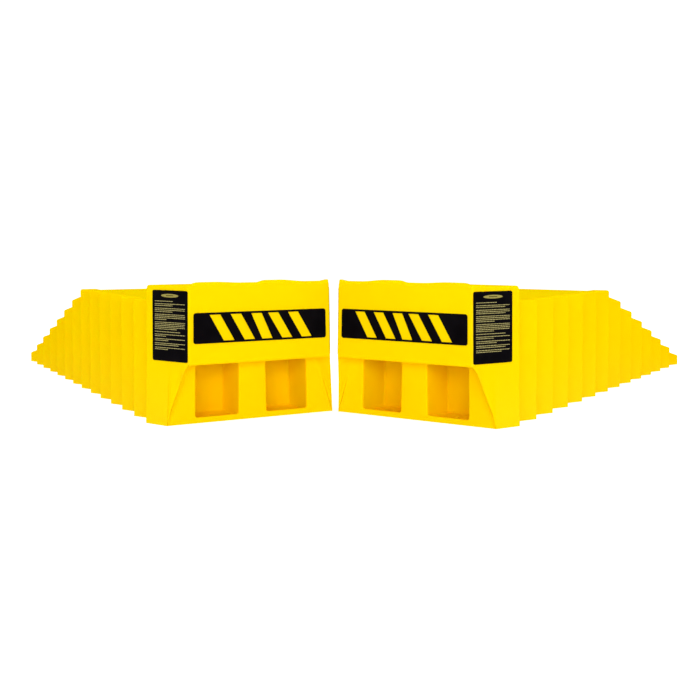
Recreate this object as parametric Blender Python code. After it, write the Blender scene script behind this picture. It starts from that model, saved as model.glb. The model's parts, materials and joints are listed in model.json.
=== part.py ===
"""Pair of one-piece moulded drive-on wheel ramps, standing in a V with their tall ends together.

Units are metres, +Z is up. Each ramp is modelled in its own frame: the floor is z = 0, the
centreline is y = 0, x = 0 is the back of the wheel stop and +X runs down to the low tip.
"""
import math

import bmesh
import bpy
from mathutils import Vector

# Plan of one ramp
TOOTH_PITCH = 0.0535
TOOTH_COUNT = 13
TOOTH_DEPTH = 0.0135
HALF_WIDTH = 0.1244
STOP_LENGTH = 0.062
STOP_FACE_HALF_WIDTH = 0.0936
DRAFT_ANGLE = math.radians(1.0)

# Extra flare of the wheel stop's flanks below the ledge, at the floor
SKIRT_BACK = 0.0013
SKIRT_FRONT = 0.0036

# Side profile of one ramp
TIP_HEIGHT = 0.0168
RIM_HEIGHT = 0.147
CREST_X = 6 * TOOTH_PITCH
STOP_BACK_HEIGHT = 0.1662
STOP_FRONT_HEIGHT = 0.1695
STOP_LEAN = 0.0006
STOP_FILLET = 0.010
TREAD_RECESS = 0.0015
RIM_WIDTH = 0.022

# Low cross ribs that grip the tyre on the incline
GRIP_RIB_PITCH = TOOTH_PITCH / 2
GRIP_RIB_WIDTH = 0.006
GRIP_RIB_HEIGHT = 0.0012

# Hollow underside
WALL = 0.0040
RIB_THICKNESS = 0.0030
LONG_RIB_OFFSETS = (-0.066, -0.022, 0.022, 0.066)
SOLID_TIP_LENGTH = 0.024

# Hand hold under the front face
LEDGE_HEIGHT = 0.0745
NOTCH_BACK_X = -0.0325
NOTCH_BACK_BASE = 0.111
NOTCH_BACK_TOP = 0.087
NOTCH_BACK_RADIUS = 0.018
NOTCH_MOUTH_X = -0.065
NOTCH_MOUTH_BASE = 0.1315
NOTCH_MOUTH_TOP = 0.0967
NOTCH_MOUTH_RADIUS = 0.009
POCKET_INNER_Y = 0.0188
POCKET_OUTER_Y = 0.0746
POCKET_DEPTH = 0.053
POCKET_TOP = 0.070
POCKET_FLOOR = 0.0035
SILL_HEIGHT = 0.007
SILL_THICKNESS = 0.0045
DRAIN_RADIUS = 0.0022

# Printed film pieces
FILM_GAP = 0.0003
FILM_THICKNESS = 0.0005
LABEL_START = 0.0107
LABEL_WIDTH = 0.0570
LABEL_LOW = 0.0772
LABEL_HIGH = 0.1606
LABEL_RADIUS = 0.0025
PANEL_WIDTH = 0.176
PANEL_HEIGHT = 0.036
PANEL_MIDDLE = 0.117
PANEL_RADIUS = 0.003
PANEL_BORDER = 0.0025
STRIPE_COUNT = 6
STRIPE_GAP = 0.0135
STRIPE_SLANT = 0.018

# Where the two ramps stand: middle of x = 0 on each ramp, and how far its tip turns outwards
LEFT_PLACE = (-0.1308, 1.2443)
LEFT_TURN = math.radians(28.5)
RIGHT_PLACE = (0.1004, 1.2304)
RIGHT_TURN = math.radians(33.2)

# How far cutting solids run past the moulding
REACH = 0.5
ABOVE = 0.2
OVERRUN = 0.001
ARC_STEPS = 4

TIP_X = TOOTH_COUNT * TOOTH_PITCH
FRONT_X = -STOP_LENGTH
FLANK_DIRECTION = Vector((-STOP_LENGTH, STOP_FACE_HALF_WIDTH - HALF_WIDTH, 0.0)).normalized()


def empty_scene():
    for item in list(bpy.data.objects):
        bpy.data.objects.remove(item, do_unlink=True)


def new_collection(name):
    collection = bpy.data.collections.new(name)
    bpy.context.scene.collection.children.link(collection)
    return collection


def plastic(name, color, roughness):
    material = bpy.data.materials.new(name)
    material.use_nodes = True
    shader = material.node_tree.nodes["Principled BSDF"]
    shader.inputs["Base Color"].default_value = (*color, 1.0)
    shader.inputs["Roughness"].default_value = roughness
    shader.inputs["Metallic"].default_value = 0.0
    return material


def arc(centre, radius, start, end):
    """Points along an arc in a plane, from one angle in degrees to another."""
    points = []
    for step in range(ARC_STEPS + 1):
        angle = math.radians(start + (end - start) * step / ARC_STEPS)
        points.append((centre[0] + radius * math.cos(angle), centre[1] + radius * math.sin(angle)))
    return points


def drafted(mesh, angle=DRAFT_ANGLE):
    """Lean every side wall inwards with height, as a mould needs."""
    for vertex in mesh.vertices:
        side = math.copysign(1.0, vertex.co.y)
        vertex.co.y -= side * vertex.co.z * math.tan(angle)


def mesh_object(name, mesh, collection):
    item = bpy.data.objects.new(name, mesh)
    collection.objects.link(item)
    return item


def slab_mesh(name, outlines, low, high, plane):
    """Solid between two depths whose section is a flat outline, with any further outlines as holes."""
    curve = bpy.data.curves.new(name, "CURVE")
    curve.dimensions = "2D"
    curve.fill_mode = "BOTH"
    curve.extrude = (high - low) / 2
    for outline in outlines:
        spline = curve.splines.new("POLY")
        spline.points.add(len(outline) - 1)
        for point, place in zip(spline.points, outline):
            point.co = (place[0], place[1], 0.0, 1.0)
        spline.use_cyclic_u = True
    holder = bpy.data.objects.new(name, curve)
    bpy.context.scene.collection.objects.link(holder)
    graph = bpy.context.evaluated_depsgraph_get()
    mesh = bpy.data.meshes.new_from_object(holder.evaluated_get(graph))
    bpy.data.objects.remove(holder, do_unlink=True)
    middle = (low + high) / 2
    for vertex in mesh.vertices:
        across, along, depth = vertex.co
        if plane == "XY":
            vertex.co = (across, along, depth + middle)
        elif plane == "XZ":
            vertex.co = (across, depth + middle, along)
        else:
            vertex.co = (depth + middle, across, along)
    tidy_mesh(mesh)
    return mesh


def tidy_mesh(mesh):
    """Weld the seams of a mesh and point its faces outwards."""
    shape = bmesh.new()
    shape.from_mesh(mesh)
    bmesh.ops.remove_doubles(shape, verts=shape.verts, dist=1e-6)
    bmesh.ops.recalc_face_normals(shape, faces=shape.faces)
    shape.to_mesh(mesh)
    shape.free()


def box_mesh(name, boxes):
    """One mesh of separate boxes, each given by its low and high corners."""
    shape = bmesh.new()
    for low, high in boxes:
        made = bmesh.ops.create_cube(shape, size=1.0)
        for vertex in made["verts"]:
            for axis in range(3):
                middle = (low[axis] + high[axis]) / 2
                vertex.co[axis] = middle + vertex.co[axis] * (high[axis] - low[axis])
    mesh = bpy.data.meshes.new(name)
    shape.to_mesh(mesh)
    shape.free()
    return mesh


def side_outline(inset):
    """One zigzag side, from the tip to the front: teeth, then the flank of the wheel stop."""
    slope = math.atan(TOOTH_DEPTH / (TOOTH_PITCH / 2))
    shift = inset / math.cos(slope)
    points = []
    for tooth in range(TOOTH_COUNT):
        outer_x = TIP_X - tooth * TOOTH_PITCH
        points.append((outer_x, HALF_WIDTH - shift))
        points.append((outer_x - TOOTH_PITCH / 2, HALF_WIDTH - TOOTH_DEPTH - shift))
    points.append((0.0, HALF_WIDTH - shift))
    points.append((FRONT_X, STOP_FACE_HALF_WIDTH - shift))
    return points


def skirt(x):
    """How far the flank flares outwards at the floor."""
    if x > 0:
        return 0.0
    return SKIRT_BACK + (SKIRT_FRONT - SKIRT_BACK) * x / FRONT_X


def plan_mesh(name, outline, levels):
    """Solid with the ramp's zigzag plan, in strips of quads, one for each half tooth and each level."""
    shape = bmesh.new()
    columns = []
    for x, y in outline:
        flares = [skirt(x) if level == 0.0 else 0.0 for level in levels]
        left = [shape.verts.new((x, y + flare, level)) for flare, level in zip(flares, levels)]
        right = [shape.verts.new((x, -y - flare, level)) for flare, level in zip(flares, levels)]
        columns.append((left, right))
    for (left, right), (next_left, next_right) in zip(columns, columns[1:]):
        shape.faces.new((left[0], next_left[0], next_right[0], right[0]))
        shape.faces.new((left[-1], next_left[-1], next_right[-1], right[-1]))
        for step in range(len(levels) - 1):
            shape.faces.new((left[step], left[step + 1], next_left[step + 1], next_left[step]))
            shape.faces.new((right[step], right[step + 1], next_right[step + 1], next_right[step]))
    for left, right in (columns[0], columns[-1]):
        for step in range(len(levels) - 1):
            shape.faces.new((left[step], left[step + 1], right[step + 1], right[step]))
    bmesh.ops.connect_verts_nonplanar(shape, angle_limit=math.radians(0.01), faces=shape.faces)
    bmesh.ops.recalc_face_normals(shape, faces=shape.faces)
    mesh = bpy.data.meshes.new(name)
    shape.to_mesh(mesh)
    shape.free()
    return mesh


def profile_outline():
    """Side view at the height of the raised rims."""
    return [
        (TIP_X + OVERRUN, -OVERRUN),
        (TIP_X + OVERRUN, TIP_HEIGHT),
        (TIP_X, TIP_HEIGHT),
        (CREST_X, RIM_HEIGHT),
        (0.0, RIM_HEIGHT),
        (-STOP_LEAN, STOP_BACK_HEIGHT),
        (FRONT_X - OVERRUN, STOP_FRONT_HEIGHT),
        (FRONT_X - OVERRUN, -OVERRUN),
    ]


def tread_outline():
    """Side view of the space above the tread: the ribbed incline, the level deck and the stop's foot."""
    slope = math.atan((RIM_HEIGHT - TIP_HEIGHT) / (TIP_X - CREST_X))
    along = Vector((-math.cos(slope), math.sin(slope)))
    out = Vector((math.sin(slope), math.cos(slope)))
    tip = Vector((TIP_X, TIP_HEIGHT)) - out * TREAD_RECESS
    deck = RIM_HEIGHT - TREAD_RECESS
    incline_length = (deck - tip.y) / math.sin(slope)
    points = [tip - along * WALL]
    rib_start = GRIP_RIB_PITCH / 2
    while rib_start + GRIP_RIB_WIDTH < incline_length:
        foot = tip + along * rib_start
        points.append(foot)
        points.append(foot + along * GRIP_RIB_HEIGHT + out * GRIP_RIB_HEIGHT)
        points.append(foot + along * (GRIP_RIB_WIDTH - GRIP_RIB_HEIGHT) + out * GRIP_RIB_HEIGHT)
        points.append(foot + along * GRIP_RIB_WIDTH)
        rib_start += GRIP_RIB_PITCH
    points.append(tip + along * incline_length)
    points += arc((STOP_FILLET, deck + STOP_FILLET), STOP_FILLET, 270, 190)
    points.append((-STOP_LEAN, STOP_BACK_HEIGHT))
    points.append((-STOP_LEAN, ABOVE))
    points.append((TIP_X + WALL, ABOVE))
    return [tuple(point) for point in points]


def hollow_outline():
    """Side view of the hollow: a wall under the tread, the wheel stop and the ledge of the notch."""
    hollow_tip = TIP_X - SOLID_TIP_LENGTH
    slope = (RIM_HEIGHT - TIP_HEIGHT) / (TIP_X - CREST_X)
    ceiling = RIM_HEIGHT - TREAD_RECESS - WALL
    crest_x = CREST_X - WALL / 2
    return [
        (hollow_tip, -OVERRUN),
        (hollow_tip, ceiling - (hollow_tip - crest_x) * slope),
        (crest_x, ceiling),
        (-WALL, ceiling),
        (-WALL - STOP_LEAN, STOP_BACK_HEIGHT - WALL),
        (FRONT_X + WALL, STOP_FRONT_HEIGHT - WALL),
        (FRONT_X + WALL, LEDGE_HEIGHT + WALL),
        (NOTCH_BACK_X + WALL, LEDGE_HEIGHT + WALL),
        (NOTCH_BACK_X + WALL, -OVERRUN),
    ]


def cross_ribs():
    """One rib across the hollow at each tooth."""
    rib = RIB_THICKNESS / 2
    places = [tooth * TOOTH_PITCH for tooth in range(1, TOOTH_COUNT)]
    return [((x - rib, -REACH, -REACH), (x + rib, REACH, REACH)) for x in places]


def long_ribs():
    rib = RIB_THICKNESS / 2
    return [((-REACH, y - rib, -REACH), (REACH * 2, y + rib, REACH)) for y in LONG_RIB_OFFSETS]


def pocket_walls():
    back = NOTCH_BACK_X + POCKET_DEPTH + WALL
    boxes = []
    for side in (-1, 1):
        y_ends = sorted((side * (POCKET_INNER_Y - WALL), side * (POCKET_OUTER_Y + WALL)))
        boxes.append(((FRONT_X, y_ends[0], -REACH), (back, y_ends[1], LEDGE_HEIGHT + WALL)))
    return boxes


def pocket_outline():
    """Side view of a pocket: a low sill across its mouth and a floor that lies lower behind it."""
    sill_back = NOTCH_BACK_X + SILL_THICKNESS
    back = NOTCH_BACK_X + POCKET_DEPTH
    return [
        (NOTCH_BACK_X - WALL, SILL_HEIGHT),
        (sill_back, SILL_HEIGHT),
        (sill_back, POCKET_FLOOR),
        (back, POCKET_FLOOR),
        (back, POCKET_TOP),
        (NOTCH_BACK_X - WALL, POCKET_TOP),
    ]


def arch(half_base, half_top, radius):
    """Half of the notch's outline as (y, z): up one side, round its top corner, to the middle."""
    side_slope = (half_base - half_top) / LEDGE_HEIGHT
    side_angle = math.degrees(math.atan(side_slope))
    base = (half_base + side_slope * OVERRUN, -OVERRUN)
    centre = (half_top - radius * math.tan(math.radians(45 - side_angle / 2)), LEDGE_HEIGHT - radius)
    return [base] + arc(centre, radius, side_angle, 90)


def notch_mesh():
    """Loft from the notch's narrow back to its wide mouth."""
    shape = bmesh.new()
    rings = []
    sections = (
        (NOTCH_BACK_X, NOTCH_BACK_BASE, NOTCH_BACK_TOP, NOTCH_BACK_RADIUS),
        (NOTCH_MOUTH_X, NOTCH_MOUTH_BASE, NOTCH_MOUTH_TOP, NOTCH_MOUTH_RADIUS),
    )
    for x, base, top, radius in sections:
        half = arch(base, top, radius)
        ring = half + [(-y, z) for y, z in reversed(half)]
        rings.append([shape.verts.new((x, y, z)) for y, z in ring])
    count = len(rings[0])
    for index in range(count):
        following = (index + 1) % count
        shape.faces.new((rings[0][index], rings[0][following], rings[1][following], rings[1][index]))
    shape.faces.new(rings[0])
    shape.faces.new(rings[1])
    bmesh.ops.recalc_face_normals(shape, faces=shape.faces)
    mesh = bpy.data.meshes.new("notch_cutter")
    shape.to_mesh(mesh)
    shape.free()
    return mesh


def drain_mesh():
    """A small drain hole in the floor of each pocket."""
    shape = bmesh.new()
    middle_x = NOTCH_BACK_X + POCKET_DEPTH / 2
    middle_y = (POCKET_INNER_Y + POCKET_OUTER_Y) / 2
    for side in (-1, 1):
        made = bmesh.ops.create_cone(
            shape, cap_ends=True, segments=12,
            radius1=DRAIN_RADIUS, radius2=DRAIN_RADIUS, depth=4 * POCKET_FLOOR)
        bmesh.ops.translate(shape, verts=made["verts"], vec=(middle_x, side * middle_y, 0.0))
    mesh = bpy.data.meshes.new("drain_cutter")
    shape.to_mesh(mesh)
    shape.free()
    return mesh


def cutter(name, mesh, collection, angle=DRAFT_ANGLE):
    drafted(mesh, angle)
    item = mesh_object(name, mesh, collection)
    item.display_type = "WIRE"
    item.hide_render = True
    return item


def side_view_cutter(name, outline, half_width, collection, angle=DRAFT_ANGLE):
    """Cutting solid with a side view as its outline, across the ramp."""
    mesh = slab_mesh(name, [outline], -half_width, half_width, "XZ")
    return cutter(name, mesh, collection, angle)


def add_boolean(item, tool, operation):
    modifier = item.modifiers.new(tool.name, "BOOLEAN")
    modifier.operation = operation
    modifier.solver = "EXACT"
    modifier.object = tool


def baked(item):
    """The item's mesh with its modifiers applied, and the item removed."""
    bpy.context.view_layer.update()
    graph = bpy.context.evaluated_depsgraph_get()
    mesh = bpy.data.meshes.new_from_object(item.evaluated_get(graph))
    bpy.data.objects.remove(item, do_unlink=True)
    tidy_mesh(mesh)
    return mesh


def hollow_cutter(cutters):
    """The hollow underside, less the ribs and the walls round the pockets."""
    outline = side_outline(WALL)
    hollow = cutter("hollow_cutter", plan_mesh("hollow", outline, (-OVERRUN, ABOVE)), cutters)
    add_boolean(hollow, side_view_cutter("hollow_side", hollow_outline(), REACH, cutters), "INTERSECT")
    kept = {"cross_ribs": cross_ribs(), "long_ribs": long_ribs(), "pocket_walls": pocket_walls()}
    for name, boxes in kept.items():
        add_boolean(hollow, cutter(name, box_mesh(name, boxes), cutters), "DIFFERENCE")
    return hollow


def pocket_cutter(side, cutters):
    low, high = sorted((side * POCKET_INNER_Y, side * POCKET_OUTER_Y))
    mesh = slab_mesh("pocket", [pocket_outline()], low, high, "XZ")
    return cutter("pocket_cutter", mesh, cutters)


def moulding_mesh(cutters):
    """The one-piece ramp: zigzag sides, recessed tread, wheel stop, hand hold and ribbed hollow."""
    deck = RIM_HEIGHT - TREAD_RECESS
    tread_half = HALF_WIDTH - RIM_WIDTH - 2 * deck * math.tan(DRAFT_ANGLE)
    blank = plan_mesh("blank", side_outline(0.0), (0.0, LEDGE_HEIGHT, ABOVE))
    drafted(blank)
    ramp = mesh_object("ramp_blank", blank, cutters)
    add_boolean(ramp, side_view_cutter("profile", profile_outline(), REACH, cutters), "INTERSECT")
    tools = (
        side_view_cutter("tread", tread_outline(), tread_half, cutters, -DRAFT_ANGLE),
        hollow_cutter(cutters),
        cutter("notch_cutter", notch_mesh(), cutters),
        pocket_cutter(-1, cutters),
        pocket_cutter(1, cutters),
        cutter("drain_cutter", drain_mesh(), cutters),
    )
    for tool in tools:
        add_boolean(ramp, tool, "DIFFERENCE")
    return baked(ramp)


def rounded_rectangle(low, high, radii):
    """Outline with a corner radius each: low left, low right, high right, high left."""
    corners = (
        ((low[0], low[1]), (1, 1), 180),
        ((high[0], low[1]), (-1, 1), 270),
        ((high[0], high[1]), (-1, -1), 0),
        ((low[0], high[1]), (1, -1), 90),
    )
    points = []
    for (corner, inward, start), radius in zip(corners, radii):
        if radius == 0:
            points.append(corner)
            continue
        centre = (corner[0] + inward[0] * radius, corner[1] + inward[1] * radius)
        points += arc(centre, radius, start, start + 90)
    return points


def label_mesh(side):
    """Film on the angled flank of the wheel stop, rounded at the corners next to the zigzag."""
    outline = rounded_rectangle(
        (LABEL_START, LABEL_LOW), (LABEL_START + LABEL_WIDTH, LABEL_HIGH),
        (LABEL_RADIUS, 0.0, 0.0, LABEL_RADIUS))
    mesh = slab_mesh("flank_label", [outline], FILM_GAP, FILM_GAP + FILM_THICKNESS, "XY")
    along = FLANK_DIRECTION
    outward = Vector((along.y, -along.x, 0.0))
    corner = Vector((0.0, HALF_WIDTH, 0.0))
    for vertex in mesh.vertices:
        distance, height, depth = vertex.co
        vertex.co = corner + along * distance + outward * depth
        vertex.co.z = height
        vertex.co.y *= side
    drafted(mesh)
    tidy_mesh(mesh)
    return mesh


def panel_mesh():
    """Film on the front face: a black panel with slanted windows, a plain hazard stripe."""
    half_width = PANEL_WIDTH / 2
    low = PANEL_MIDDLE - PANEL_HEIGHT / 2
    high = PANEL_MIDDLE + PANEL_HEIGHT / 2
    outline = rounded_rectangle((-half_width, low), (half_width, high), [PANEL_RADIUS] * 4)
    windows = []
    window_low = low + PANEL_BORDER
    window_high = high - PANEL_BORDER
    stripe_pitch = (PANEL_WIDTH - STRIPE_SLANT) / STRIPE_COUNT
    for index in range(1, STRIPE_COUNT):
        left = -half_width + index * stripe_pitch - STRIPE_GAP / 2
        right = left + STRIPE_GAP
        windows.append([
            (left, window_low),
            (right, window_low),
            (right + STRIPE_SLANT, window_high),
            (left + STRIPE_SLANT, window_high),
        ])
    back = FRONT_X - FILM_GAP
    mesh = slab_mesh("front_panel", [outline] + windows, back - FILM_THICKNESS, back, "YZ")
    drafted(mesh)
    return mesh


def anchor(name, place, turn, collection):
    """Empty that carries one ramp, with its +X along the ramp towards the tip."""
    item = bpy.data.objects.new(name, None)
    item.location = (place[0], place[1], 0.0)
    item.rotation_euler = (0.0, 0.0, math.radians(90) + turn)
    collection.objects.link(item)
    return item


def ramp_pieces(side_name, carrier, meshes, collection):
    for piece, mesh in meshes.items():
        item = mesh_object(f"{side_name}_{piece}", mesh, collection)
        item.parent = carrier


def stand_on_origin(carriers, pieces):
    """Move the carriers so that the middle of the pair's box stands on the origin."""
    bpy.context.view_layer.update()
    corners = [item.matrix_world @ vertex.co for item in pieces for vertex in item.data.vertices]
    for axis in range(2):
        values = [corner[axis] for corner in corners]
        middle = (min(values) + max(values)) / 2
        for carrier in carriers:
            carrier.location[axis] -= middle


def main():
    empty_scene()
    parts = new_collection("wheel_ramp_pair")
    cutters = new_collection("ramp_cutters")
    yellow = plastic("ramp_yellow", (1.0, 0.70, 0.0), 0.42)
    black = plastic("film_black", (0.006, 0.005, 0.008), 0.40)
    meshes = {
        "ramp_body": moulding_mesh(cutters),
        "label_port": label_mesh(1),
        "label_starboard": label_mesh(-1),
        "front_panel": panel_mesh(),
    }
    for piece, mesh in meshes.items():
        mesh.materials.clear()
        mesh.materials.append(yellow if piece == "ramp_body" else black)
    left = anchor("left_ramp", LEFT_PLACE, LEFT_TURN, parts)
    right = anchor("right_ramp", RIGHT_PLACE, -RIGHT_TURN, parts)
    ramp_pieces("left", left, meshes, parts)
    ramp_pieces("right", right, meshes, parts)
    pieces = [item for item in parts.objects if item.type == "MESH"]
    stand_on_origin((left, right), pieces)


main()
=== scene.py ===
"""Looks of a pair of moulded drive-on wheel ramps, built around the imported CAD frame.

Metres, +Z up. Each ramp's pieces are made in the ramp's own frame: the floor is z = 0, the
centreline is y = 0, x = 0 is the back of the wheel stop and +X runs down to the low tip.
"""
import json
import math
import random

import bmesh
import bpy
import numpy as np
from mathutils import Matrix, Vector


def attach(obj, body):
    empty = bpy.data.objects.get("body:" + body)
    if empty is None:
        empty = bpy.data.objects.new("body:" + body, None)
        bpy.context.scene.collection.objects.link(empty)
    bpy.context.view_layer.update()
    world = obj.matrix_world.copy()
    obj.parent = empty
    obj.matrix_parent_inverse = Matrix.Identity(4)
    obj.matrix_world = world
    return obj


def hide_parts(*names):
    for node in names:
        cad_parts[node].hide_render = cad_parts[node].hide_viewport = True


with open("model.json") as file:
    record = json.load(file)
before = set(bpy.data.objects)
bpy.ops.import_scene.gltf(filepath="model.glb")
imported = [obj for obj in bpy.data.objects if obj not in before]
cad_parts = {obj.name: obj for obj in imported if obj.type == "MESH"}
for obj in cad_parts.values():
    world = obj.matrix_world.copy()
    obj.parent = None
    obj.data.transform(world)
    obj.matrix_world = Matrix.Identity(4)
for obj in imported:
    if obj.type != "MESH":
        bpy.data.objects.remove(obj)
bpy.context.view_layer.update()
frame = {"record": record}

# Plan of one ramp
TOOTH_PITCH = 0.0535
TOOTH_COUNT = 13
TOOTH_DEPTH = 0.0135
HALF_WIDTH = 0.1244
STOP_LENGTH = 0.062
STOP_FACE_HALF_WIDTH = 0.0936
DRAFT = math.tan(math.radians(1.0))
TIP_X = TOOTH_COUNT * TOOTH_PITCH
FRONT_X = -STOP_LENGTH
SKIRT_BACK = 0.0013
SKIRT_FRONT = 0.0036

# Side profile of one ramp
TIP_HEIGHT = 0.0168
RIM_HEIGHT = 0.147
CREST_X = 6 * TOOTH_PITCH
STOP_BACK_HEIGHT = 0.1662
STOP_FRONT_HEIGHT = 0.1683
STOP_FLAT_X = -0.034
STOP_LEAN = 0.0006
TREAD_RECESS = 0.0015
RIM_WIDTH = 0.022
SLOPE = math.atan((RIM_HEIGHT - TIP_HEIGHT) / (TIP_X - CREST_X))
GRIP_RIB_PITCH = TOOTH_PITCH / 2 * math.cos(SLOPE)
GRIP_RIB_WIDTH = 0.006
GRIP_RIB_HEIGHT = 0.0012
GRIP_RIB_EASE = 0.0016
GRIP_RIB_STATIONS = (0.0030, 0.0026, 0.0022, 0.0018, 0.0014)
GRIP_RIB_TIP_GAP = 0.012

# Roundings of the moulding
TOOTH_ROUND = 0.0015
TIP_CORNER_ROUND = 0.0008
FRONT_CORNER_ROUND = 0.0010
TIP_ROUND = 0.0020
CREST_ROUND = 0.018
STOP_FOOT_ROUND = 0.009
STOP_EDGE_ROUND = 0.0012
STOP_FRONT_ROUND = 0.0040
STOP_TOP_SWEEP = 0.20
RIM_ROUND = 0.0026
RIM_FOOT = 0.0014
EDGE_ROUND = 0.0007
LEDGE_ROUND = 0.0040
LEDGE_SIDE_SHARE = 0.1
HAND_HOLD_FILLET = 0.0050
CHEEK_MARGIN = 0.003
CHEEK_EDGE_ANGLE = math.radians(38)
SMOOTH_ANGLE = math.radians(50)

# Lip along the front edge of the wheel stop, moulded in two shallow waves
LIP_START = 0.0885
LIP_PITCH = 0.0840
LIP_BASE = 0.0012
LIP_WAVES = (0.0014, 0.0024, 0.0016)
LIP_DEPTH = 0.0075
LIP_REACH = 0.001

# Loft of the outer skin
SMALLEST_STEP = 0.00004
TREAD_STEPS = 32
TREAD_EDGE_SHARE = 0.93
TREAD_RUNOUT_SHARE = 0.985

# Hollow underside
WALL = 0.0040
RIB_THICKNESS = 0.0030
LONG_RIB_OFFSETS = (-0.066, -0.022, 0.022, 0.066)
SOLID_TIP_LENGTH = 0.024

# How far the cutters reach past what they cut
REACH = 0.5
BELOW_FLOOR = 0.002
HOLLOW_START = 0.001
HOLLOW_RISE = 0.2

# Hand hold under the front face
LEDGE_HEIGHT = 0.0745
LEDGE_EDGE_HEIGHT = 0.0737
NOTCH_BACK_X = -0.0325
NOTCH_BACK = (0.111, 0.087, 0.018)
NOTCH_MOUTH_X = -0.065
NOTCH_MOUTH = (0.1315, 0.0967, 0.009)
POCKET_INNER_Y = 0.0188
POCKET_OUTER_Y = 0.0746
POCKET_DEPTH = 0.053
POCKET_TOP = 0.070
POCKET_FLOOR = 0.0035
POCKET_ROUND = 0.0028
POCKET_MOUTH_ROUND = 0.0016
LEAST_ROUND = 0.0002
SILL_HEIGHT = 0.007
SILL_THICKNESS = 0.0045
SILL_SLOPE_LENGTH = 0.003
DRAIN_RADIUS = 0.0022

# Films
FILM_GAP = 0.00015
FILM_THICKNESS = 0.00030
INK_THICKNESS = 0.00008
LABEL_START = 0.0107
LABEL_WIDTH = 0.0570
LABEL_LOW = 0.0772
LABEL_HIGH = 0.1606
LABEL_RADIUS = 0.0025
PRINT_MARGIN = 0.0040
PRINT_DROP = 0.0125
PRINT_ROW = 0.0007
PRINT_PITCH = 0.0020
PRINT_GAP = 0.0012
PRINT_SPACE = 0.0005
PRINT_WORD = (0.0010, 0.0042)
PRINT_LAST_LINE = (0.35, 0.9)
PRINT_PARAGRAPHS = (1, 2, 3, 4, 5, 1, 2, 2, 2, 2)
BADGE_DROP = 0.0062
BADGE_HALF_WIDTH = 0.0140
BADGE_HALF_HEIGHT = 0.0021
BADGE_STEPS = 48
BADGE_BAR_HALF_WIDTH = 0.0060
BADGE_BAR_HALF_HEIGHT = 0.0004
BADGE_BAR_ROUND = 0.0003
PANEL_WIDTH = 0.176
PANEL_HEIGHT = 0.036
PANEL_MIDDLE = 0.117
PANEL_RADIUS = 0.003
PANEL_BORDER = 0.0025
STRIPE_COUNT = 6
STRIPE_GAP = 0.0135
STRIPE_SLANT = 0.018
FLANK_DIRECTION = Vector((-STOP_LENGTH, STOP_FACE_HALF_WIDTH - HALF_WIDTH, 0.0)).normalized()

# How each ramp is turned in the frame: the direction of its +X
TURNS = {"left": math.radians(118.5), "right": math.radians(56.8)}

# Camera
CAMERA_PLACE = (-0.0067, -1.5214, 0.2204)
CAMERA_PITCH = math.radians(6.366)
CAMERA_YAW = math.radians(0.219)
CAMERA_LENS = 51.26

# Studio light
AMBIENT = 0.44
BACKDROP = 1.1
FLOOR_GLOW = 0.75
FLOOR_BOUNCE = 0.22
FLOOR_GAP = 0.0002
KEY_PLACE = (0.15, -2.85, 0.68)
KEY_SIZE = (2.6, 0.9)
KEY_POWER = 47.0
TOP_PLACE = (0.0, -0.1, 2.4)
TOP_SIZE = (3.0, 3.0)
TOP_POWER = 36.0


# ---------------------------------------------------------------- small helpers

def arc(centre, radius, start, end, steps):
    points = []
    for step in range(steps + 1):
        angle = math.radians(start + (end - start) * step / steps)
        points.append((centre[0] + radius * math.cos(angle), centre[1] + radius * math.sin(angle)))
    return points


def filleted(points, radii, steps):
    """The polyline with each inner corner replaced by an arc of its radius."""
    result = [Vector(points[0])]
    for before, corner, after, radius in zip(points, points[1:], points[2:], radii):
        corner = Vector(corner)
        back = (Vector(before) - corner).normalized()
        ahead = (Vector(after) - corner).normalized()
        half = back.angle(ahead) / 2
        reach = radius / math.tan(half)
        start = corner + back * reach
        end = corner + ahead * reach
        centre = corner + (back + ahead).normalized() * (radius / math.sin(half))
        turn = math.pi - 2 * half
        for step in range(steps + 1):
            share = step / steps
            from_start = (start - centre) * math.sin((1 - share) * turn)
            to_end = (end - centre) * math.sin(share * turn)
            result.append(centre + (from_start + to_end) / math.sin(turn))
    result.append(Vector(points[-1]))
    return result


def lookup(points):
    """A function of x that reads y along a polyline whose x only falls."""
    xs = np.array([point[0] for point in points])[::-1]
    ys = np.array([point[1] for point in points])[::-1]
    return lambda x: float(np.interp(x, xs, ys))


def smooth_share(value, low, high):
    share = min(max((value - low) / (high - low), 0.0), 1.0)
    return share * share * (3 - 2 * share)


def finish_mesh(shape, name):
    bmesh.ops.recalc_face_normals(shape, faces=shape.faces)
    mesh = bpy.data.meshes.new(name)
    shape.to_mesh(mesh)
    shape.free()
    return mesh


def placed(name, mesh, parent_matrix=None):
    item = bpy.data.objects.new(name, mesh)
    bpy.context.scene.collection.objects.link(item)
    if parent_matrix is not None:
        item.matrix_world = parent_matrix
    return item


def baked(item):
    """The item's mesh with its modifiers applied, and the item removed."""
    bpy.context.view_layer.update()
    graph = bpy.context.evaluated_depsgraph_get()
    mesh = bpy.data.meshes.new_from_object(item.evaluated_get(graph))
    bpy.data.objects.remove(item, do_unlink=True)
    return mesh


def cut(item, tool, operation="DIFFERENCE"):
    modifier = item.modifiers.new(tool.name, "BOOLEAN")
    modifier.operation = operation
    modifier.solver = "EXACT"
    modifier.object = tool


def drafted(mesh):
    for vertex in mesh.vertices:
        vertex.co.y -= math.copysign(vertex.co.z * DRAFT, vertex.co.y)
    return mesh


# ---------------------------------------------------------------- the moulding's outer skin

def side_corners():
    points = []
    for tooth in range(TOOTH_COUNT):
        outer_x = TIP_X - tooth * TOOTH_PITCH
        points.append((outer_x, HALF_WIDTH))
        points.append((outer_x - TOOTH_PITCH / 2, HALF_WIDTH - TOOTH_DEPTH))
    points.append((0.0, HALF_WIDTH))
    points.append((FRONT_X, STOP_FACE_HALF_WIDTH))
    return points


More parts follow.
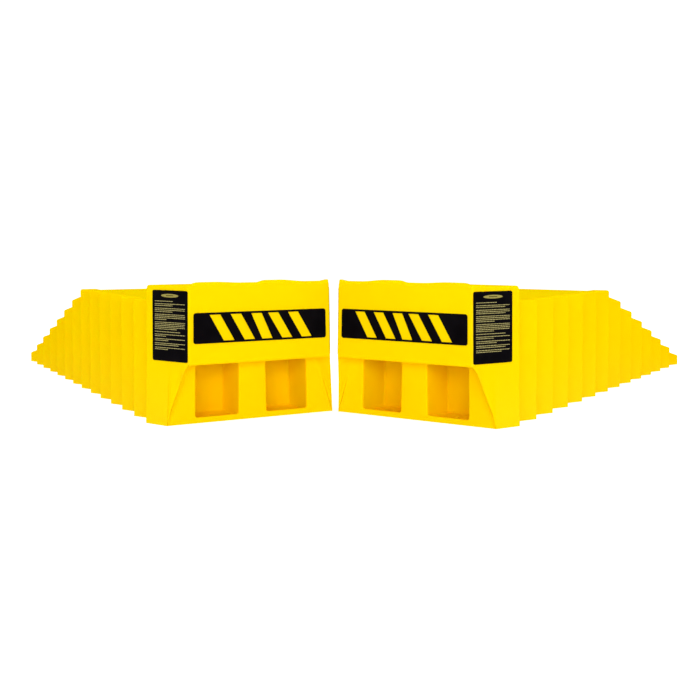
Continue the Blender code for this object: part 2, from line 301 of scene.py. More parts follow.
def width_line():
    corners = [(TIP_X, 0.0)] + side_corners() + [(FRONT_X, 0.0)]
    radii = [TIP_CORNER_ROUND] + [TOOTH_ROUND] * (2 * TOOTH_COUNT) + [FRONT_CORNER_ROUND]
    return filleted(corners, radii, 6)[1:-1]


def height_line(recess):
    """Side profile lowered by the tread's recess, except on the wheel stop."""
    drop = recess / math.cos(SLOPE)
    crest_x = CREST_X + (recess - drop) / math.tan(SLOPE)
    corners = [
        (TIP_X, 0.0),
        (TIP_X, TIP_HEIGHT - drop),
        (crest_x, RIM_HEIGHT - recess),
        (STOP_LEAN * recess / (STOP_BACK_HEIGHT - RIM_HEIGHT), RIM_HEIGHT - recess),
        (-STOP_LEAN, STOP_BACK_HEIGHT),
        (STOP_FLAT_X, STOP_BACK_HEIGHT),
        (FRONT_X, STOP_FRONT_HEIGHT),
        (FRONT_X, 0.0),
    ]
    radii = [TIP_ROUND, CREST_ROUND, STOP_FOOT_ROUND, STOP_EDGE_ROUND, STOP_TOP_SWEEP, STOP_FRONT_ROUND]
    return filleted(corners, radii, 8)[1:-1]


def grip_rib_places():
    first = CREST_X + CREST_ROUND
    count = int((TIP_X - GRIP_RIB_TIP_GAP - first) / GRIP_RIB_PITCH)
    return [first + GRIP_RIB_PITCH * (index + 0.5) for index in range(count)]


def rib_rise(x, places):
    nearest = min(places, key=lambda place: abs(place - x))
    far = abs(nearest - x)
    half = GRIP_RIB_WIDTH / 2
    return GRIP_RIB_HEIGHT * (1.0 - smooth_share(far, half - GRIP_RIB_EASE, half))


def wave(share):
    """Height of the lip's wave: a quick rise, a crown and a slow fall, once in each half."""
    return smooth_share(share, 0.0, 0.14) * (1.0 - smooth_share(share, 0.36, 0.78))


def lip_rise(x, y):
    """Rise of the lip along the stop's front edge; its steep sides face +Y."""
    across = (LIP_START - y) / LIP_PITCH
    if x > FRONT_X + 2 * LIP_DEPTH or across < 0.0:
        return 0.0
    along = 1.0 - smooth_share(x, FRONT_X + LIP_DEPTH, FRONT_X + 2 * LIP_DEPTH)
    base = LIP_BASE * smooth_share(across, 0.0, 0.08)
    return along * (base + LIP_WAVES[int(across)] * wave(across % 1.0))


def skirt(x):
    """How far the flank flares outwards at the floor."""
    if x > 0:
        return SKIRT_BACK * max(0.0, 1.0 - x / (TOOTH_PITCH / 2))
    return SKIRT_BACK + (SKIRT_FRONT - SKIRT_BACK) * x / FRONT_X


def station_places(lines, ribs):
    places = set()
    for line in lines:
        places.update(round(point[0], 6) for point in line)
    for rib in ribs:
        for offset in GRIP_RIB_STATIONS:
            places.add(round(rib - offset, 6))
            places.add(round(rib + offset, 6))
    for step in range(7):
        places.add(round(FRONT_X + LIP_DEPTH * (1 + step / 6), 6))
    ordered = sorted(places)
    kept = [ordered[0]]
    for place in ordered[1:]:
        if place - kept[-1] > SMALLEST_STEP:
            kept.append(place)
    return kept


def section(x, width, rim_top, tread_top, ribs):
    """Half of a cross-section as (y, z), from the floor up the side, over the rim and to the middle."""
    rise = rib_rise(x, ribs) if x > CREST_X else 0.0
    round_here = min(RIM_ROUND, rim_top * 0.3)
    top_width = width - rim_top * DRAFT
    knee = min(LEDGE_HEIGHT, rim_top * 0.5)
    points = [(width + skirt(x), 0.0), (width - knee * DRAFT, knee)]
    points.append((width - (rim_top - round_here) * DRAFT, rim_top - round_here))
    points += arc((top_width - round_here, rim_top - round_here), round_here, 15, 90, 5)
    inner = min(HALF_WIDTH - RIM_WIDTH - rim_top * DRAFT, top_width - round_here - 0.0025)
    step = rim_top - tread_top
    for share in (0.0, 0.2, 0.4, 0.6, 0.8, 1.0):
        lowered = step * smooth_share(share, 0.0, 1.0)
        points.append((inner + RIM_FOOT * (0.5 - share), rim_top - lowered))
    inside = inner - RIM_FOOT / 2
    for share in (TREAD_RUNOUT_SHARE, 0.977, 0.97, TREAD_EDGE_SHARE):
        ribbed = rise * (1.0 - smooth_share(share, TREAD_EDGE_SHARE, TREAD_RUNOUT_SHARE))
        points.append((inside * share, tread_top + ribbed))
    for step in range(TREAD_STEPS - 1, -1, -1):
        points.append((inside * TREAD_EDGE_SHARE * step / TREAD_STEPS, tread_top + rise))
    return points


def skin_mesh():
    """Loft of cross-sections from the front face to the tip, closed below and at both ends."""
    shape = bmesh.new()
    ribs = grip_rib_places()
    width_points = width_line()
    rim_points = height_line(0.0)
    tread_points = height_line(TREAD_RECESS)
    width_at = lookup(width_points)
    rim_at = lookup(rim_points)
    tread_at = lookup(tread_points)
    rings = []
    for x in station_places((width_points, rim_points, tread_points), ribs):
        rim_top = rim_at(x)
        tread_top = min(tread_at(x), rim_top)
        half = section(x, width_at(x), rim_top, tread_top, ribs)
        ring = half + [(-y, z) for y, z in reversed(half[:-1])]
        lifted = [(y, z + lip_rise(x, y) if z > rim_top - LIP_REACH else z) for y, z in ring]
        rings.append([shape.verts.new((x, y, z)) for y, z in lifted])
    for ring, following in zip(rings, rings[1:]):
        for index in range(len(ring) - 1):
            shape.faces.new((ring[index], ring[index + 1], following[index + 1], following[index]))
        shape.faces.new((ring[-1], ring[0], following[0], following[-1]))
    shape.faces.new(rings[0])
    shape.faces.new(rings[-1])
    return finish_mesh(shape, "skin")


# ---------------------------------------------------------------- what is cut out of it

def prism_mesh(name, outline, cells, offset):
    """Closed solid between a flat outline, split into cells, and its copy at the offset.

    Its vertices keep the outline's order, so that the Booleans give the same mesh each run.
    """
    shape = bmesh.new()
    near = [shape.verts.new(point) for point in outline]
    far = [shape.verts.new(Vector(point) + Vector(offset)) for point in outline]
    for cell in cells:
        shape.faces.new([near[index] for index in cell])
        shape.faces.new([far[index] for index in cell])
    for index in range(len(outline)):
        after = (index + 1) % len(outline)
        shape.faces.new((near[index], near[after], far[after], far[index]))
    return finish_mesh(shape, name)


def hollow_plan_mesh():
    shift = WALL / math.cos(math.atan(TOOTH_DEPTH / (TOOTH_PITCH / 2)))
    port = [(x, y - shift, -HOLLOW_START) for x, y in side_corners()]
    outline = port + [(x, -y, z) for x, y, z in reversed(port)]
    last = len(outline) - 1
    cells = [(row, row + 1, last - row - 1, last - row) for row in range(len(port) - 1)]
    return prism_mesh("hollow_plan", outline, cells, (0.0, 0.0, HOLLOW_RISE))


def hollow_side_mesh():
    hollow_tip = TIP_X - SOLID_TIP_LENGTH
    ceiling = RIM_HEIGHT - TREAD_RECESS - WALL
    crest_x = CREST_X - WALL / 2
    outline = [
        (hollow_tip, -BELOW_FLOOR),
        (hollow_tip, ceiling - (hollow_tip - crest_x) * math.tan(SLOPE)),
        (crest_x, ceiling),
        (-WALL, ceiling),
        (-WALL - STOP_LEAN, STOP_BACK_HEIGHT - WALL),
        (FRONT_X + WALL, STOP_FRONT_HEIGHT - WALL),
        (FRONT_X + WALL, LEDGE_HEIGHT + WALL),
        (NOTCH_BACK_X + WALL, LEDGE_HEIGHT + WALL),
        (NOTCH_BACK_X + WALL, -BELOW_FLOOR),
    ]
    corners = [(x, -REACH, z) for x, z in outline]
    return prism_mesh("hollow_side", corners, [range(len(corners))], (0.0, 2 * REACH, 0.0))


def box_mesh(name, boxes):
    shape = bmesh.new()
    for low, high in boxes:
        made = bmesh.ops.create_cube(shape, size=1.0)
        for vertex in made["verts"]:
            for axis in range(3):
                middle = (low[axis] + high[axis]) / 2
                vertex.co[axis] = middle + vertex.co[axis] * (high[axis] - low[axis])
    return finish_mesh(shape, name)


def cross_rib_boxes():
    half = RIB_THICKNESS / 2
    places = [tooth * TOOTH_PITCH for tooth in range(1, TOOTH_COUNT)]
    return [((x - half, -REACH, -REACH), (x + half, REACH, REACH)) for x in places]


def long_rib_boxes():
    half = RIB_THICKNESS / 2
    return [((-REACH, y - half, -REACH), (REACH * 2, y + half, REACH)) for y in LONG_RIB_OFFSETS]


def pocket_wall_boxes():
    back = NOTCH_BACK_X + POCKET_DEPTH + WALL
    boxes = []
    for side in (-1, 1):
        ends = sorted((side * (POCKET_INNER_Y - WALL), side * (POCKET_OUTER_Y + WALL)))
        boxes.append(((FRONT_X, ends[0], -REACH), (back, ends[1], LEDGE_HEIGHT + WALL)))
    return boxes


def pocket_mesh():
    """The two pockets: rounded mouths, a low sill, a floor that lies lower behind it and rounded backs."""
    back = NOTCH_BACK_X + POCKET_DEPTH
    sill_back = NOTCH_BACK_X + SILL_THICKNESS
    stations = [(NOTCH_BACK_X - 0.010, POCKET_MOUTH_ROUND, SILL_HEIGHT)]
    for step in range(6):
        angle = math.radians(90 - 18 * step)
        stations.append((
            NOTCH_BACK_X + POCKET_MOUTH_ROUND * (1 - math.sin(angle)),
            POCKET_MOUTH_ROUND * (1 - math.cos(angle)), SILL_HEIGHT))
    for step in range(5):
        share = step / 4
        floor = SILL_HEIGHT + (POCKET_FLOOR - SILL_HEIGHT) * smooth_share(share, 0, 1)
        stations.append((sill_back + SILL_SLOPE_LENGTH * share, 0.0, floor))
    for step in range(6):
        angle = math.radians(18 * step)
        shrunk = -POCKET_ROUND * (1 - math.cos(angle))
        stations.append((back - POCKET_ROUND * (1 - math.sin(angle)), shrunk, POCKET_FLOOR))
    shape = bmesh.new()
    for side in (-1, 1):
        low_y, high_y = sorted((side * POCKET_INNER_Y, side * POCKET_OUTER_Y))
        rings = []
        for x, grown, floor in stations:
            low = (low_y - grown, floor - grown)
            high = (high_y + grown, POCKET_TOP + grown)
            ring = rounded_rectangle(low, high, [max(POCKET_ROUND + grown, LEAST_ROUND)] * 4)
            rings.append([shape.verts.new((x, y, z)) for y, z in ring])
        bridge(shape, rings)
    return finish_mesh(shape, "pockets")


def bridge(shape, rings):
    """Closed skin through rings of equal count, capped at both ends."""
    for ring, following in zip(rings, rings[1:]):
        for index in range(len(ring)):
            after = (index + 1) % len(ring)
            shape.faces.new((ring[index], ring[after], following[after], following[index]))
    shape.faces.new(rings[0])
    shape.faces.new(rings[-1])


def arch(half_base, half_top, radius, grown_up, grown_out):
    """Half of the hand hold's outline as (y, z), grown outwards: up one side, round its corner."""
    slope = (half_base - half_top) / LEDGE_EDGE_HEIGHT
    angle = math.atan(slope)
    outward = grown_out / math.cos(angle)
    top = LEDGE_EDGE_HEIGHT + grown_up
    top_y = half_top + outward - slope * grown_up
    radius = radius + grown_up
    centre = (top_y - radius * math.tan(math.pi / 4 - angle / 2), top - radius)
    foot = (half_base + outward + slope * BELOW_FLOOR, -BELOW_FLOOR)
    return [foot] + arc(centre, radius, math.degrees(angle), 90, 12)


def notch_mesh():
    """Hand hold: filleted where it meets its back wall and rounded over at the ledge's front edge."""
    stations = []
    for step in range(7):
        angle = math.radians(15 * step)
        shrunk = -HAND_HOLD_FILLET * (1 - math.sin(angle))
        stations.append((NOTCH_BACK_X - HAND_HOLD_FILLET * (1 - math.cos(angle)), shrunk, shrunk))
    for step in range(8):
        angle = math.radians(90 * step / 7)
        grown = LEDGE_ROUND * (1 - math.cos(angle))
        stations.append((FRONT_X + LEDGE_ROUND * (1 - math.sin(angle)), grown, grown * LEDGE_SIDE_SHARE))
    stations.append((NOTCH_MOUTH_X, LEDGE_ROUND, LEDGE_ROUND * LEDGE_SIDE_SHARE))
    shape = bmesh.new()
    rings = []
    for x, grown_up, grown_out in stations:
        share = (x - NOTCH_BACK_X) / (NOTCH_MOUTH_X - NOTCH_BACK_X)
        form = [back + (mouth - back) * share for back, mouth in zip(NOTCH_BACK, NOTCH_MOUTH)]
        half = arch(*form, grown_up, grown_out)
        ring = half + [(-y, z) for y, z in reversed(half)]
        rings.append([shape.verts.new((x, y, z)) for y, z in ring])
    bridge(shape, rings)
    return finish_mesh(shape, "notch")


def drain_mesh():
    shape = bmesh.new()
    middle_x = NOTCH_BACK_X + POCKET_DEPTH / 2
    middle_y = (POCKET_INNER_Y + POCKET_OUTER_Y) / 2
    for side in (-1, 1):
        made = bmesh.ops.create_cone(
            shape, cap_ends=True, segments=24,
            radius1=DRAIN_RADIUS, radius2=DRAIN_RADIUS, depth=4 * POCKET_FLOOR)
        bmesh.ops.translate(shape, verts=made["verts"], vec=(middle_x, side * middle_y, 0.0))
    return finish_mesh(shape, "drains")


def on_cheek(vertex):
    """Whether the vertex lies on one of the two cheeks beside the hand hold."""
    place = vertex.co
    along = FRONT_X < place.x < NOTCH_BACK_X + CHEEK_MARGIN
    return along and abs(place.y) > NOTCH_BACK[1] and place.z < LEDGE_HEIGHT


def weigh_edges(mesh):
    """Mark the cheeks' sharp edges for a small rounding; the cutters already round the rest."""
    shape = bmesh.new()
    shape.from_mesh(mesh)
    bmesh.ops.remove_doubles(shape, verts=shape.verts, dist=2e-6)
    weights = shape.edges.layers.float.new("bevel_weight_edge")
    for edge in shape.edges:
        on_floor = max(vertex.co.z for vertex in edge.verts) < EDGE_ROUND
        if on_floor or len(edge.link_faces) != 2 or edge.calc_face_angle() < CHEEK_EDGE_ANGLE:
            continue
        if all(on_cheek(vertex) for vertex in edge.verts):
            edge[weights] = 1.0
    shape.to_mesh(mesh)
    shape.free()


def ramp_mesh():
    """The left moulding: skin, ribbed hollow, hand hold, pockets and drains, with rounded cheeks."""
    tools = {
        "side": placed("side", drafted(hollow_side_mesh())),
        "cross": placed("cross", box_mesh("cross", cross_rib_boxes())),
        "long": placed("long", drafted(box_mesh("long", long_rib_boxes()))),
        "walls": placed("walls", drafted(box_mesh("walls", pocket_wall_boxes()))),
        "notch": placed("notch", drafted(notch_mesh())),
        "pockets": placed("pockets", drafted(pocket_mesh())),
        "drains": placed("drains", drain_mesh()),
    }
    hollow = placed("hollow", drafted(hollow_plan_mesh()))
    cut(hollow, tools["side"], "INTERSECT")
    for name in ("cross", "long", "walls"):
        cut(hollow, tools[name])
    skin = placed("skin", skin_mesh())
    cut(skin, hollow)
    for name in ("notch", "pockets", "drains"):
        cut(skin, tools[name])
    mesh = baked(skin)
    for tool in list(tools.values()) + [hollow]:
        bpy.data.objects.remove(tool, do_unlink=True)
    weigh_edges(mesh)
    rounded = placed("rounded", mesh)
    bevel = rounded.modifiers.new("rounding", "BEVEL")
    bevel.limit_method = "WEIGHT"
    bevel.width = EDGE_ROUND
    bevel.segments = 2
    bevel.use_clamp_overlap = False
    bevel.miter_outer = "MITER_ARC"
    result = baked(rounded)
    result.shade_smooth()
    result.set_sharp_from_angle(angle=SMOOTH_ANGLE)
    return result


def mirrored(mesh):
    """The other hand of the moulding: its lip's waves run the opposite way."""
    twin = mesh.copy()
    for vertex in twin.vertices:
        vertex.co.y = -vertex.co.y
    twin.flip_normals()
    return twin


# ---------------------------------------------------------------- films

def film_mesh(name, outline, holes, depth_low, depth_high):
    """Thin solid from a flat outline with holes, in (across, up, out)."""
    curve = bpy.data.curves.new(name, "CURVE")
    curve.dimensions = "2D"
    curve.fill_mode = "BOTH"
    curve.extrude = (depth_high - depth_low) / 2
    for ring in [outline] + holes:
        spline = curve.splines.new("POLY")
        spline.points.add(len(ring) - 1)
        for point, place in zip(spline.points, ring):
            point.co = (place[0], place[1], 0.0, 1.0)
        spline.use_cyclic_u = True
    holder = bpy.data.objects.new(name, curve)
    bpy.context.scene.collection.objects.link(holder)
    mesh = baked(holder)
    shape = bmesh.new()
    shape.from_mesh(mesh)
    bmesh.ops.remove_doubles(shape, verts=shape.verts, dist=1e-7)
    bmesh.ops.translate(shape, verts=shape.verts, vec=(0.0, 0.0, (depth_low + depth_high) / 2))
    return finish_mesh(shape, name)


def rounded_rectangle(low, high, radii):
    corners = (
        ((low[0], low[1]), (1, 1), 180),
        ((high[0], low[1]), (-1, 1), 270),
        ((high[0], high[1]), (-1, -1), 0),
        ((low[0], high[1]), (1, -1), 90),
    )
    points = []
    for (corner, inward, start), radius in zip(corners, radii):
        if radius == 0:
            points.append(corner)
            continue
        centre = (corner[0] + inward[0] * radius, corner[1] + inward[1] * radius)
        points += arc(centre, radius, start, start + 90, 6)
    return points


def onto_flank(mesh, side):
    """Stand a film made in (along, up, out) on one flank of the wheel stop."""
    outward = Vector((FLANK_DIRECTION.y, -FLANK_DIRECTION.x, 0.0))
    corner = Vector((0.0, HALF_WIDTH, 0.0))
    for vertex in mesh.vertices:
        distance, height, depth = vertex.co
        vertex.co = corner + FLANK_DIRECTION * distance + outward * depth
        vertex.co.z = height
        vertex.co.y *= side
    drafted(mesh)
    shape = bmesh.new()
    shape.from_mesh(mesh)
    return finish_mesh(shape, mesh.name)


def onto_front(mesh):
    """Stand a film made in (across, up, out) on the front face."""
    for vertex in mesh.vertices:
        across, height, depth = vertex.co
        vertex.co = (FRONT_X - depth, across, height)
    shape = bmesh.new()
    shape.from_mesh(drafted(mesh))
    return finish_mesh(shape, mesh.name)


def label_mesh(side):
    outline = rounded_rectangle(
        (LABEL_START, LABEL_LOW), (LABEL_START + LABEL_WIDTH, LABEL_HIGH), [LABEL_RADIUS] * 4)
    return onto_flank(film_mesh("label", outline, [], FILM_GAP, FILM_GAP + FILM_THICKNESS), side)


def panel_mesh():
    half_width = PANEL_WIDTH / 2
    low = PANEL_MIDDLE - PANEL_HEIGHT / 2
    high = PANEL_MIDDLE + PANEL_HEIGHT / 2
    outline = rounded_rectangle((-half_width, low), (half_width, high), [PANEL_RADIUS] * 4)
    windows = []
    pitch = (PANEL_WIDTH - STRIPE_SLANT) / STRIPE_COUNT
    for index in range(1, STRIPE_COUNT):
        left = -half_width + index * pitch - STRIPE_GAP / 2
        windows.append([
            (left, low + PANEL_BORDER),
            (left + STRIPE_GAP, low + PANEL_BORDER),
            (left + STRIPE_GAP + STRIPE_SLANT, high - PANEL_BORDER),
            (left + STRIPE_SLANT, high - PANEL_BORDER),
        ])
    return onto_front(film_mesh("panel", outline, windows, FILM_GAP, FILM_GAP + FILM_THICKNESS))


def bar_outline(left, right, low, high):
    return [(left, low), (right, low), (right, high), (left, high)]


def thin_bar(shape, corners, base):
    low = [shape.verts.new((x, y, base)) for x, y in corners]
    high = [shape.verts.new((x, y, base + INK_THICKNESS)) for x, y in corners]
    shape.faces.new(low)
    shape.faces.new(high)
    for index in range(4):
        after = (index + 1) % 4
        shape.faces.new((low[index], low[after], high[after], high[index]))


def print_mesh(side, seed):
    """Rows of plain dashes in paragraphs, with no letters; they start at the reader's left."""
    dice = random.Random(seed)
    shape = bmesh.new()
    start = LABEL_START + LABEL_WIDTH / 2 - side * (LABEL_WIDTH / 2 - PRINT_MARGIN)
    room = LABEL_WIDTH - 2 * PRINT_MARGIN
    height = LABEL_HIGH - PRINT_DROP
    base = FILM_GAP + FILM_THICKNESS
    for paragraph in PRINT_PARAGRAPHS:
        for line in range(paragraph):
            length = room if line < paragraph - 1 else room * dice.uniform(*PRINT_LAST_LINE)
            done = 0.0
            while done < length - PRINT_SPACE:
                word = min(done + dice.uniform(*PRINT_WORD), length)
                ends = sorted((start + side * done, start + side * word))
                thin_bar(shape, bar_outline(*ends, height - PRINT_ROW, height), base)
                done = word + PRINT_SPACE
            height -= PRINT_PITCH
        height -= PRINT_GAP
    return onto_flank(finish_mesh(shape, "print"), side)


def badge_mesh(side):
    """A plain pale oval with a bar left out of its middle, at the top of the label."""
    middle = LABEL_START + LABEL_WIDTH / 2
    height = LABEL_HIGH - BADGE_DROP
    outline = []
    for step in range(BADGE_STEPS):
        angle = 2 * math.pi * step / BADGE_STEPS
        along = BADGE_HALF_WIDTH * math.cos(angle)
        outline.append((middle + along, height + BADGE_HALF_HEIGHT * math.sin(angle)))
    bar = rounded_rectangle(
        (middle - BADGE_BAR_HALF_WIDTH, height - BADGE_BAR_HALF_HEIGHT),
        (middle + BADGE_BAR_HALF_WIDTH, height + BADGE_BAR_HALF_HEIGHT), [BADGE_BAR_ROUND] * 4)
    base = FILM_GAP + FILM_THICKNESS
    return onto_flank(film_mesh("badge", outline, [bar], base, base + INK_THICKNESS), side)


# ---------------------------------------------------------------- materials

class Nodes:
    """Short names for building a node material."""

    def __init__(self, name):
        self.material = bpy.data.materials.new(name)
        self.material.use_nodes = True
        self.tree = self.material.node_tree
        self.shader = self.tree.nodes["Principled BSDF"]

    def add(self, kind, **values):
        node = self.tree.nodes.new(kind)
        for key, value in values.items():
            if key in node.inputs:
                node.inputs[key].default_value = value
            else:
                setattr(node, key, value)
        return node

    def join(self, source, target):
        self.tree.links.new(source, target)

    def ramp(self, source, stops):
        node = self.add("ShaderNodeValToRGB")
        node.color_ramp.elements[0].position = stops[0][0]
        node.color_ramp.elements[0].color = (*stops[0][1], 1.0)
        node.color_ramp.elements[1].position = stops[1][0]
        node.color_ramp.elements[1].color = (*stops[1][1], 1.0)
        for position, color in stops[2:]:
            element = node.color_ramp.elements.new(position)
            element.color = (*color, 1.0)
        self.join(source, node.inputs["Fac"])
        return node


def yellow_plastic():
    """Soft matte polyethylene: fine moulded grain, faint sink marks and pale rubbed edges."""
    make = Nodes("ramp_yellow")
    place = make.add("ShaderNodeTexCoord").outputs["Object"]
    cloud = make.add("ShaderNodeTexNoise", Scale=9.0, Detail=3.0, Roughness=0.55)
    make.join(place, cloud.inputs["Vector"])
    base = make.ramp(cloud.outputs["Fac"], (
        (0.30, (0.975, 0.595, 0.0)),
        (0.70, (0.990, 0.625, 0.0)),
    ))
    speck = make.add("ShaderNodeTexNoise", Scale=420.0, Detail=2.0)
    make.join(place, speck.inputs["Vector"])
    edge = make.ramp(make.add("ShaderNodeNewGeometry").outputs["Pointiness"], (
        (0.52, (0.0, 0.0, 0.0)),
        (0.62, (1.0, 1.0, 1.0)),
    ))
    worn = make.add("ShaderNodeMath", operation="MULTIPLY")
    make.join(edge.outputs["Color"], worn.inputs[0])
    make.join(speck.outputs["Fac"], worn.inputs[1])
    rubbed = make.add("ShaderNodeMix", data_type="RGBA")
    make.join(worn.outputs[0], rubbed.inputs["Factor"])
    make.join(base.outputs["Color"], rubbed.inputs[6])
    rubbed.inputs[7].default_value = (1.0, 0.66, 0.01, 1.0)
    make.join(rubbed.outputs[2], make.shader.inputs["Base Color"])
    sheen = make.add("ShaderNodeMapRange")
    sheen.inputs["To Min"].default_value = 0.42
    sheen.inputs["To Max"].default_value = 0.56
    make.join(cloud.outputs["Fac"], sheen.inputs["Value"])
    make.join(sheen.outputs["Result"], make.shader.inputs["Roughness"])
    grain = make.add("ShaderNodeTexNoise", Scale=900.0, Detail=3.0, Roughness=0.6)
    make.join(place, grain.inputs["Vector"])
    fine = make.add("ShaderNodeBump", Strength=0.10, Distance=0.0004)
    make.join(grain.outputs["Fac"], fine.inputs["Height"])
    sink = make.add("ShaderNodeBump", Strength=0.12, Distance=0.004)
    make.join(cloud.outputs["Fac"], sink.inputs["Height"])
    make.join(fine.outputs["Normal"], sink.inputs["Normal"])
    make.join(sink.outputs["Normal"], make.shader.inputs["Normal"])
    make.shader.inputs["Specular IOR Level"].default_value = 0.0
    make.shader.inputs["Subsurface Weight"].default_value = 0.5
    make.shader.inputs["Subsurface Radius"].default_value = (1.0, 0.6, 0.05)
    make.shader.inputs["Subsurface Scale"].default_value = 0.008
    return make.material


def black_film(name, roughness, level):
    """Printed film: near black with a faint cloud in its gloss and a fine bump."""
    make = Nodes(name)
    place = make.add("ShaderNodeTexCoord").outputs["Object"]
    cloud = make.add("ShaderNodeTexNoise", Scale=60.0, Detail=4.0)
    make.join(place, cloud.inputs["Vector"])
    tone = make.ramp(cloud.outputs["Fac"], (
        (0.35, (0.0012, 0.0008, 0.0014)),
        (0.65, (0.0026, 0.0020, 0.0030)),
    ))
    make.join(tone.outputs["Color"], make.shader.inputs["Base Color"])
    gloss = make.add("ShaderNodeMapRange")
    gloss.inputs["To Min"].default_value = roughness - 0.05
    gloss.inputs["To Max"].default_value = roughness + 0.08
    make.join(cloud.outputs["Fac"], gloss.inputs["Value"])
    make.join(gloss.outputs["Result"], make.shader.inputs["Roughness"])
    grain = make.add("ShaderNodeTexNoise", Scale=700.0, Detail=2.0)
    make.join(place, grain.inputs["Vector"])
    bump = make.add("ShaderNodeBump", Strength=0.06, Distance=0.0002)
    make.join(grain.outputs["Fac"], bump.inputs["Height"])
    make.join(bump.outputs["Normal"], make.shader.inputs["Normal"])
    make.shader.inputs["Specular IOR Level"].default_value = level
    return make.material


def pale_ink(name, dark, light):
    """Pale printing ink that takes the film's fine texture."""
    make = Nodes(name)
    place = make.add("ShaderNodeTexCoord").outputs["Object"]
    speckle = make.add("ShaderNodeTexNoise", Scale=1500.0, Detail=2.0)
    make.join(place, speckle.inputs["Vector"])
    tone = make.ramp(speckle.outputs["Fac"], ((0.35, dark), (0.65, light)))
    make.join(tone.outputs["Color"], make.shader.inputs["Base Color"])
    bump = make.add("ShaderNodeBump", Strength=0.05, Distance=0.0001)
    make.join(speckle.outputs["Fac"], bump.inputs["Height"])
    make.join(bump.outputs["Normal"], make.shader.inputs["Normal"])
    make.shader.inputs["Roughness"].default_value = 0.55
    make.shader.inputs["Specular IOR Level"].default_value = 0.2
    return make.material


def floor_white():
    """Pale studio floor: plain white to the camera, with a weaker glow of its own as bounce light."""
    make = Nodes("floor_white")
    place = make.add("ShaderNodeTexCoord").outputs["Object"]
    cloud = make.add("ShaderNodeTexNoise", Scale=3.0, Detail=2.0)
    make.join(place, cloud.inputs["Vector"])
    tone = make.ramp(cloud.outputs["Fac"], ((0.4, (0.80, 0.80, 0.80)), (0.6, (0.82, 0.82, 0.82))))
    make.join(tone.outputs["Color"], make.shader.inputs["Base Color"])
    make.shader.inputs["Emission Color"].default_value = (1.0, 1.0, 1.0, 1.0)
    glow = make.add("ShaderNodeMapRange")
    glow.inputs["To Min"].default_value = FLOOR_BOUNCE
    glow.inputs["To Max"].default_value = FLOOR_GLOW
    make.join(make.add("ShaderNodeLightPath").outputs["Is Camera Ray"], glow.inputs["Value"])
    make.join(glow.outputs["Result"], make.shader.inputs["Emission Strength"])
    make.shader.inputs["Roughness"].default_value = 0.9
    make.shader.inputs["Specular IOR Level"].default_value = 0.0
    return make.material


# ---------------------------------------------------------------- stage

def make_floor():
    shape = bmesh.new()
    bmesh.ops.create_grid(shape, x_segments=8, y_segments=8, size=8.0)
    floor = placed("studio_floor", finish_mesh(shape, "studio_floor"))
    floor.location.z = -FLOOR_GAP
    floor.data.materials.append(floor_white())


def make_light(name, place, target, size, power):
    data = bpy.data.lights.new(name, "AREA")
    data.shape = "RECTANGLE"
    data.size = size[0]
    data.size_y = size[1]
    data.energy = power
    lamp = bpy.data.objects.new(name, data)
    bpy.context.scene.collection.objects.link(lamp)
    lamp.location = place
    lamp.rotation_euler = (Vector(target) - Vector(place)).to_track_quat("-Z", "Y").to_euler()


def make_world():
    """Soft even light; the camera itself sees plain white behind the object."""
    world = bpy.data.worlds.new("studio")
    world.use_nodes = True
    background = world.node_tree.nodes["Background"]
    background.inputs["Color"].default_value = (1.0, 1.0, 1.0, 1.0)
    path = world.node_tree.nodes.new("ShaderNodeLightPath")
    strength = world.node_tree.nodes.new("ShaderNodeMapRange")
    strength.inputs["To Min"].default_value = AMBIENT
    strength.inputs["To Max"].default_value = BACKDROP
    world.node_tree.links.new(path.outputs["Is Camera Ray"], strength.inputs["Value"])
    world.node_tree.links.new(strength.outputs["Result"], background.inputs["Strength"])
    bpy.context.scene.world = world


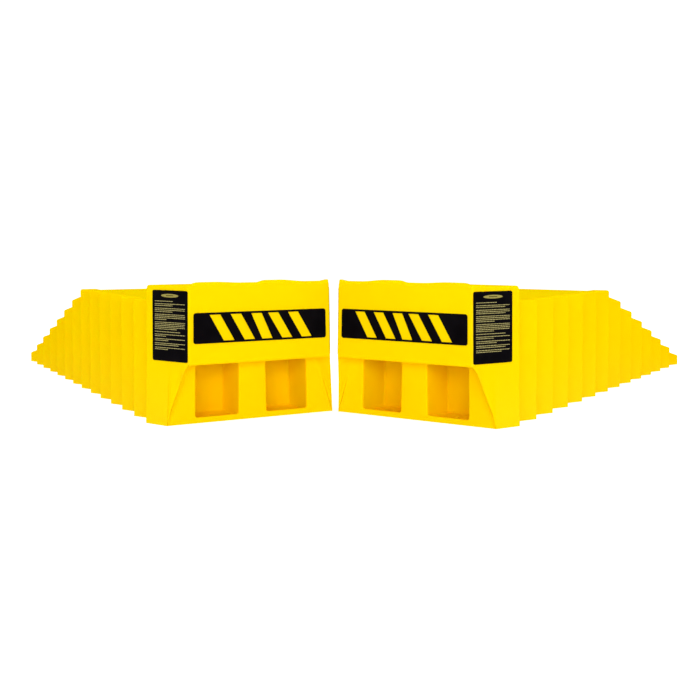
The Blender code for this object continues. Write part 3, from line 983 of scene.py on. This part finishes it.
def make_camera():
    data = bpy.data.cameras.new("camera")
    data.lens = CAMERA_LENS
    data.sensor_width = 36.0
    camera = bpy.data.objects.new("camera", data)
    bpy.context.scene.collection.objects.link(camera)
    camera.location = CAMERA_PLACE
    camera.rotation_euler = (math.radians(90) - CAMERA_PITCH, 0.0, -CAMERA_YAW)
    bpy.context.scene.camera = camera
    bpy.context.scene.view_settings.view_transform = "Standard"


# ---------------------------------------------------------------- assembly

def ramp_matrix(side):
    """Where the ramp stands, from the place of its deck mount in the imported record."""
    mounts = {mount["name"]: mount for mount in frame["record"]["mounts"]}
    deck = Vector(mounts[f"{side}_deck"]["pos_m"])
    turn = Matrix.Rotation(TURNS[side], 4, "Z")
    middle = turn @ Vector((CREST_X / 2, 0.0, 0.0))
    return Matrix.Translation((deck.x - middle.x, deck.y - middle.y, 0.0)) @ turn


def add_piece(name, mesh, material, side, node=None):
    mesh.materials.clear()
    mesh.materials.append(material)
    piece = placed(name, mesh, ramp_matrix(side))
    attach(piece, f"{side}_ramp")
    if node:
        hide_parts(node)
    return piece


def main():
    make_camera()
    make_world()
    make_floor()
    make_light("key", KEY_PLACE, (0.0, -0.2, 0.08), KEY_SIZE, KEY_POWER)
    make_light("top", TOP_PLACE, (0.0, -0.1, 0.0), TOP_SIZE, TOP_POWER)
    yellow = yellow_plastic()
    label_black = black_film("label_black", 0.45, 0.02)
    print_black = black_film("print_black", 0.55, 0.02)
    ink = pale_ink("label_ink", (0.34, 0.30, 0.10), (0.50, 0.44, 0.18))
    badge = pale_ink("badge_ink", (0.24, 0.20, 0.04), (0.34, 0.29, 0.07))
    body = ramp_mesh()
    bodies = {"left": body, "right": mirrored(body)}
    panel = panel_mesh()
    films = {
        "port": (label_mesh(1), print_mesh(1, 11), badge_mesh(1)),
        "starboard": (label_mesh(-1), print_mesh(-1, 12), badge_mesh(-1)),
    }
    for side in ("left", "right"):
        add_piece(f"{side}_moulding", bodies[side], yellow, side, f"{side}_ramp_body")
        add_piece(f"{side}_hazard_panel", panel, print_black, side, f"{side}_front_panel")
        for flank, (film, dashes, oval) in films.items():
            node = f"{side}_label_{flank}"
            add_piece(f"{side}_film_{flank}", film, label_black, side, node)
            add_piece(f"{side}_dashes_{flank}", dashes, ink, side)
            add_piece(f"{side}_badge_{flank}", oval, badge, side)


main()
